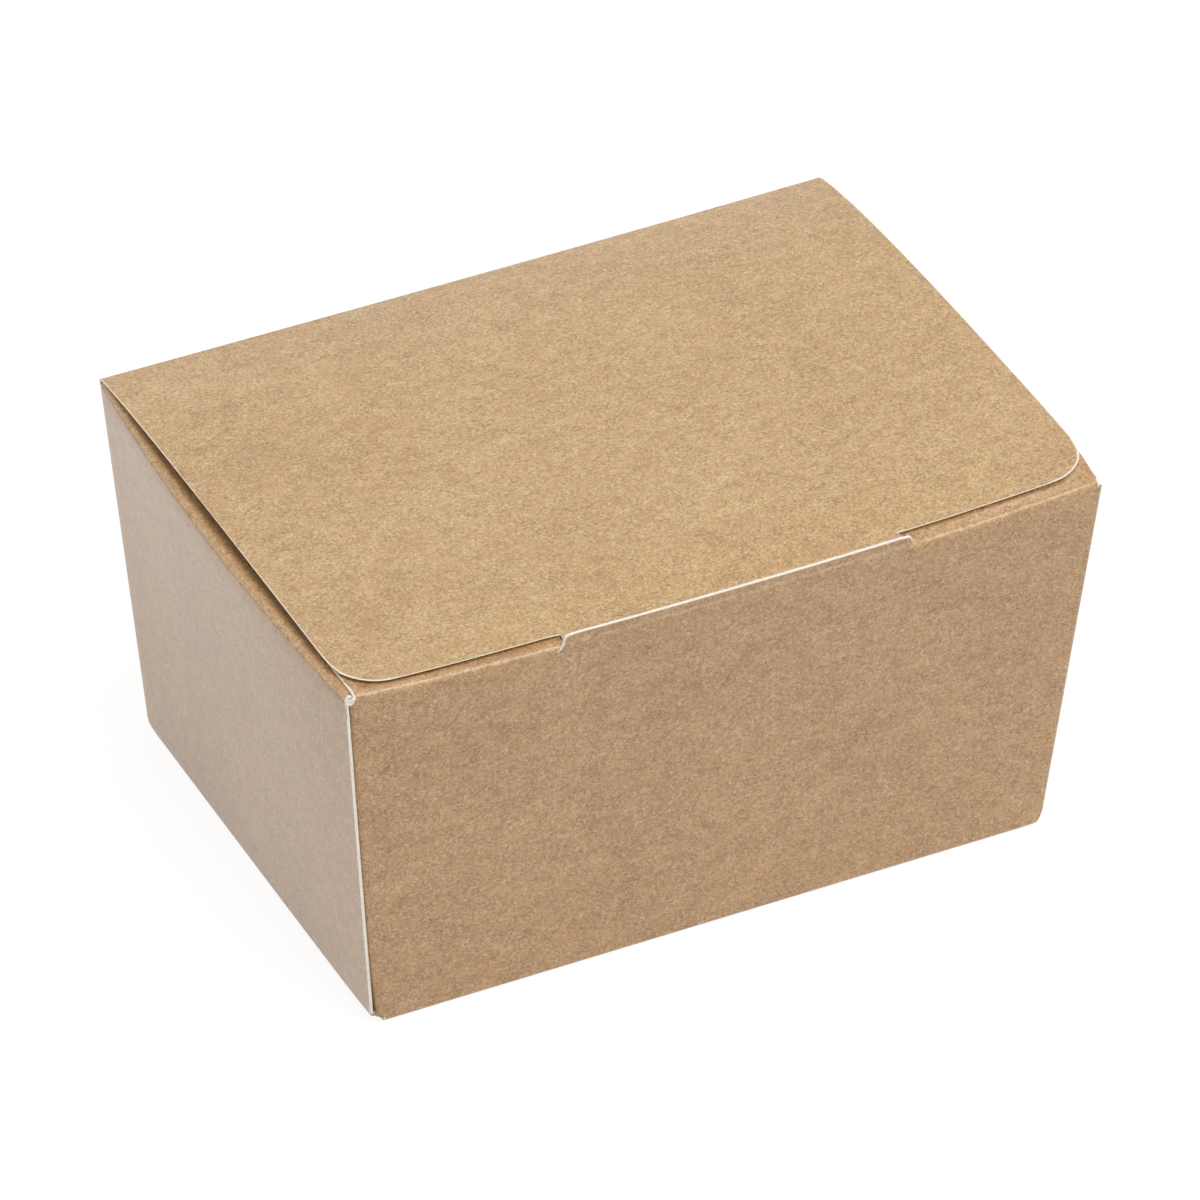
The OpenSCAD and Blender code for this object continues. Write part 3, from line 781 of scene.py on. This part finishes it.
# The rolled end of the left fold, where it meets the seam: a curl of core with a hole at its top
LENS_N, CURL_N = 6, 32
CURL_AT, CURL_TURN = np.array([-70.6, -51.1, 73.4]), math.radians(20)
CURL_FROM, CURL_TO, CURL_W, CURL_H, CURL_R = 58, 402, 0.6, 0.8, 0.27    # the loop that the roll follows
CURL_TIP, CURL_TAPER = 0.45, 4                                          # the roll's ends are thinner
PULP_W, PULP_H, PULP_T, PULP_DROP = 0.46, 0.55, 0.16, 0.16
curl_x = np.array([math.cos(CURL_TURN), -math.sin(CURL_TURN), 0])
curl_z = np.array([0, 0, 1.0])
curl_n = np.cross(curl_x, curl_z)
rings = []
for i in range(CURL_N + 1):
    a = math.radians(mix(CURL_FROM, CURL_TO, i / CURL_N))
    out = math.cos(a) * curl_x + math.sin(a) * curl_z
    middle = CURL_AT + CURL_W * math.cos(a) * curl_x + CURL_H * math.sin(a) * curl_z
    r = CURL_R * min(1, CURL_TIP + min(i, CURL_N - i) / CURL_TAPER)
    rings.append([middle + r * (math.cos(b) * out + math.sin(b) * curl_n) for b in angles(12)])
curl = finish_mesh("corner_curl", loft(rings), [core])
fill = lens(CURL_AT - PULP_DROP * curl_z, PULP_W * curl_x, PULP_H * curl_z, PULP_T * curl_n,
            tilt=80, power=1, n=20)
pulp = finish_mesh("corner_pulp", loft(fill), [core])
for piece in (curl, pulp):
    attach(piece, "carton")

# The soft bulge of the fold beside the lip's right end
EAR_AT, EAR_R, EAR_T, EAR_WEAR = np.array([34.05, -52.0, 72.85]), 1.2, 0.22, 0.6
ear_n, ear_down = np.array([0, -0.68, 0.733]), np.array([0, -0.733, -0.68])
bm = loft(lens(EAR_AT, EAR_R * np.array([1, 0, 0]), EAR_R * ear_down, EAR_T * ear_n,
               tilt=88, power=0.6, n=24))
scuff = bm.verts.layers.float.new("scuff")
for v in bm.verts:
    v[scuff] = EAR_WEAR
ear = finish_mesh("lip_ear", bm, [LID_BOARD_LIT[0]])
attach(ear, "carton")

# The lid and its tongue
corner_x = [-LID_W / 2 + LID_CORNER * (1 - math.cos(math.radians(a))) for a in LID_CORNER_ANGLES]
side_x = [mix(-LID_W / 2 + LID_CORNER, -TONGUE_W / 2, i / LID_SIDE_N) for i in range(1, LID_SIDE_N)]
tongue_left = -TONGUE_W / 2 + TONGUE_LEFT_IN
tongue_x = [mix(tongue_left, TONGUE_W / 2, i / LID_N) for i in range(LID_N + 1)]
left_x = corner_x + side_x
lid_x = left_x + tongue_x + [-x for x in left_x[::-1]]
lid_rows = [(PANEL, (i / RISE_N) ** 1.2) for i in range(RISE_N + 1)]     # closer together near the fold
lid_rows += [(part, i / ARC_N) for part in (BEND, TONGUE) for i in range(1, ARC_N + 1)]
outside = [[lid_point(x, row, 0) for row in lid_rows] for x in lid_x]
inside = [[lid_point(x, row, BOARD) for row in lid_rows] for x in lid_x]
cells = [[lid_rows[j + 1][0] == PANEL or lid_x[i] in tongue_x[:-1] for j in range(len(lid_rows) - 1)]
         for i in range(len(lid_x) - 1)]
# The tongue's edges and the lid's back edge, which goes on as the crease, show no core
bm = sheet(outside, inside, cells, under=lambda i, j: UNDERCUT if lid_rows[j][0] == PANEL else 0,
           closed=lambda a, b: max(lid_rows[a[1]][0], lid_rows[b[1]][0]) > PANEL or a[1] == b[1] == 0)
raw_edges(bm)
lid = finish_mesh("lid_panel", bm, LID_BOARD_LIT)
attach(lid, "lid")
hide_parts("lid")


# The strip of board that bends over the back fold
def crease_point(x, f, depth):
    a = math.radians(90 * f)
    r = FOLD_R - depth
    lift = (lid_z(x, LID_START) - HINGE_Z + HINGE_DROP - FOLD_R + BOARD / 2) * f
    return np.array([x, LID_START + r * math.cos(a), HINGE_Z - HINGE_DROP + r * math.sin(a) + lift])


outside = [[crease_point(x, j / CREASE_N, 0) for j in range(CREASE_N + 1)] for x in lid_x]
inside = [[crease_point(x, j / CREASE_N, BOARD) for j in range(CREASE_N + 1)] for x in lid_x]
bm = sheet(outside[::-1], inside[::-1], [[True] * CREASE_N for _ in range(len(lid_x) - 1)],
           closed=lambda a, b: a[0] != b[0])
crease = finish_mesh("back_crease", bm, LID_BOARD_LIT)
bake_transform(crease)


# The bottom
def plate(outline, z0, z1):
    """Flat piece of board: kraft below, plain above, raw at its sides."""
    bm = bmesh.new()
    low = [bm.verts.new((x * MM, y * MM, z0 * MM)) for x, y in outline]
    top = [bm.verts.new((x * MM, y * MM, z1 * MM)) for x, y in outline]
    f = bm.faces.new(low[::-1])
    f.material_index = KRAFT
    f = bm.faces.new(top)
    f.material_index = INNER
    for i in range(len(outline)):
        j = (i + 1) % len(outline)
        f = bm.faces.new([low[i], low[j], top[j], top[i]])
        f.material_index = EDGE
    raw_edges(bm)
    flats = [f for f in bm.faces if f.material_index != EDGE]
    bmesh.ops.inset_individual(bm, faces=flats, thickness=RIM_MIN * MM)
    return bm


def arc(cx, cy, r, a0, a1, n=6):
    turns = [math.radians(mix(a0, a1, i / n)) for i in range(n + 1)]
    return [(cx + r * math.cos(a), cy + r * math.sin(a)) for a in turns]


def turned(outline, turn):
    return [(-x, -y) for x, y in outline] if turn else outline


half = BASE_W / 2 - FOLD_R
root = -BASE_D / 2 + FOLD_R + BOTTOM_HEM
long_y, short_y = JOINT_STEP - JOINT_GAP / 2, -JOINT_STEP - JOINT_GAP / 2
main = ([(-half, root), (half, root), (half, short_y), (JOINT_RUN, short_y), (-JOINT_RUN, long_y)]
        + arc(-half + MAIN_CORNER, long_y - MAIN_CORNER, MAIN_CORNER, 90, 180, 3))
r = LOCK_CORNER
low_y, high_y = short_y - LOCK_REACH + r, short_y + LOCK_REACH - r
lock = (arc(r, low_y, r, 180, 270) + arc(LOCK_W - r, low_y, r, 270, 360)
        + arc(LOCK_W - r, high_y, r, 0, 90) + arc(r, high_y, r, 90, 180))
lock = [(x + JOINT_RUN + BOARD, y) for x, y in lock]
side_half = BASE_D / 2 - FOLD_R - FLAP_NOTCH
side_root = BASE_W / 2 - FOLD_R - BOTTOM_HEM
tip_half = side_half - SIDE_FLAP * math.tan(math.radians(FLAP_SLANT))
tip_x, tip_y = side_root - SIDE_FLAP + FLAP_CORNER, tip_half - FLAP_CORNER
side = ([(side_root, -side_half), (side_root, side_half)]
        + arc(tip_x, tip_y, FLAP_CORNER, 90, 180) + arc(tip_x, -tip_y, FLAP_CORNER, 180, 270))
for turn, end in ((0, "front"), (1, "back")):
    for name, outline, z0 in (("main", main, 0), ("lock", lock, BOARD), ("side", side, BOARD + GLUE)):
        bm = plate(turned(outline, turn), z0, z0 + BOARD)
        piece = finish_mesh(f"bottom_{name}_{end}", bm, WALL_BOARD_SHADED, RIM_MIN)
        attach(piece, "carton")
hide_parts("carton")

# Camera: its angles, and its place and focal length as fitted to the box's corners in the 1200 pixel frame
AZ, EL, ROLL = (math.radians(a) for a in (-26.82, 36.09, -0.52))
TARGET_Z, SHIFT_RIGHT, SHIFT_UP, DISTANCE = 36.95, 1.106, 0.742, 1711.5
FOCAL_PX, FRAME_PX, SENSOR = 9897, 1200, 36
fwd = Vector((-math.sin(AZ) * math.cos(EL), math.cos(AZ) * math.cos(EL), -math.sin(EL)))
right = fwd.cross(Vector((0, 0, 1))).normalized()
down = fwd.cross(right)
right, down = math.cos(ROLL) * right + math.sin(ROLL) * down, -math.sin(ROLL) * right + math.cos(ROLL) * down
place = Vector((0, 0, TARGET_Z)) + SHIFT_RIGHT * right - SHIFT_UP * down - DISTANCE * fwd
camera_data = bpy.data.cameras.new("camera")
camera_data.sensor_width = SENSOR
camera_data.lens = FOCAL_PX / FRAME_PX * SENSOR
camera_data.clip_start, camera_data.clip_end = 0.1, 20
camera = bpy.data.objects.new("camera", camera_data)
bpy.context.scene.collection.objects.link(camera)
camera.matrix_world = Matrix(((right.x, -down.x, -fwd.x, place.x * MM),
                              (right.y, -down.y, -fwd.y, place.y * MM),
                              (right.z, -down.z, -fwd.z, place.z * MM),
                              (0, 0, 0, 1)))
bpy.context.scene.camera = camera


# Floor, light and background
# The floor, in metres: its glow covers the shadows that the camera sees by GLOW_SHARE
FLOOR_HALF, FLOOR_Z, FLOOR_GREY, FLOOR_GLOW, GLOW_SHARE = 6, -0.0001, 0.8, 1.2, 0.75
SKY_COLOUR, SKY_STRENGTH = (1, 0.99, 0.975, 1), 0.47
LAMP_AT, LAMP_AIM, LAMP_SIZE, LAMP_POWER = (0.25, -0.55, 1.5), (0, 0, 0.03), 1.0, 15.1


def stage_material(name, glow):
    """White to the camera and in reflections, and a plain pale floor for all other light."""
    n = Nodes(name)
    path = n.make("ShaderNodeLightPath")
    seen = n.math("MAXIMUM", path.outputs["Is Camera Ray"],
                  n.math("MAXIMUM", path.outputs["Is Glossy Ray"], path.outputs["Is Transmission Ray"]))
    emit = n.make("ShaderNodeEmission")
    emit.inputs["Color"].default_value = (1, 1, 1, 1)
    n.put(emit.inputs["Strength"], n.math("MULTIPLY", seen, glow))
    diffuse = n.make("ShaderNodeBsdfDiffuse")
    diffuse.inputs["Color"].default_value = (FLOOR_GREY, FLOOR_GREY, FLOOR_GREY, 1)
    shade = n.make("ShaderNodeMixShader")
    n.put(shade.inputs[0], n.math("MULTIPLY", seen, GLOW_SHARE))
    n.tree.links.new(diffuse.outputs[0], shade.inputs[1])
    n.tree.links.new(emit.outputs[0], shade.inputs[2])
    out = n.make("ShaderNodeOutputMaterial")
    n.tree.links.new(shade.outputs[0], out.inputs[0])
    return n.mat


floor_mesh = bpy.data.meshes.new("floor")
floor_corners = [(x * FLOOR_HALF, y * FLOOR_HALF, FLOOR_Z) for x, y in ((-1, -1), (1, -1), (1, 1), (-1, 1))]
floor_mesh.from_pydata(floor_corners, [], [(0, 1, 2, 3)])
floor = bpy.data.objects.new("floor", floor_mesh)
bpy.context.scene.collection.objects.link(floor)
floor_mesh.materials.append(stage_material("floor", FLOOR_GLOW))

# The world is plain white to the camera and in reflections, and a soft light for the rest
world = bpy.data.worlds.new("world")
bpy.context.scene.world = world
world.use_nodes = True
tree = world.node_tree
tree.nodes.clear()
path = tree.nodes.new("ShaderNodeLightPath")
white = tree.nodes.new("ShaderNodeBackground")
white.inputs[0].default_value = (1, 1, 1, 1)
white.inputs[1].default_value = 1
soft = tree.nodes.new("ShaderNodeBackground")
soft.inputs[0].default_value = SKY_COLOUR
soft.inputs[1].default_value = SKY_STRENGTH
both = tree.nodes.new("ShaderNodeMath")
both.operation = "MAXIMUM"
tree.links.new(path.outputs["Is Camera Ray"], both.inputs[0])
tree.links.new(path.outputs["Is Glossy Ray"], both.inputs[1])
shade = tree.nodes.new("ShaderNodeMixShader")
tree.links.new(both.outputs[0], shade.inputs[0])
tree.links.new(soft.outputs[0], shade.inputs[1])
tree.links.new(white.outputs[0], shade.inputs[2])
out = tree.nodes.new("ShaderNodeOutputWorld")
tree.links.new(shade.outputs[0], out.inputs[0])

lamp_data = bpy.data.lights.new("overhead", "AREA")
lamp_data.shape = "SQUARE"
lamp_data.size = LAMP_SIZE
lamp_data.energy = LAMP_POWER
lamp = bpy.data.objects.new("overhead", lamp_data)
bpy.context.scene.collection.objects.link(lamp)
lamp.location = LAMP_AT
lamp.rotation_euler = (Vector(LAMP_AIM) - Vector(LAMP_AT)).to_track_quat("-Z", "Y").to_euler()

bpy.context.scene.view_settings.view_transform = "Standard"
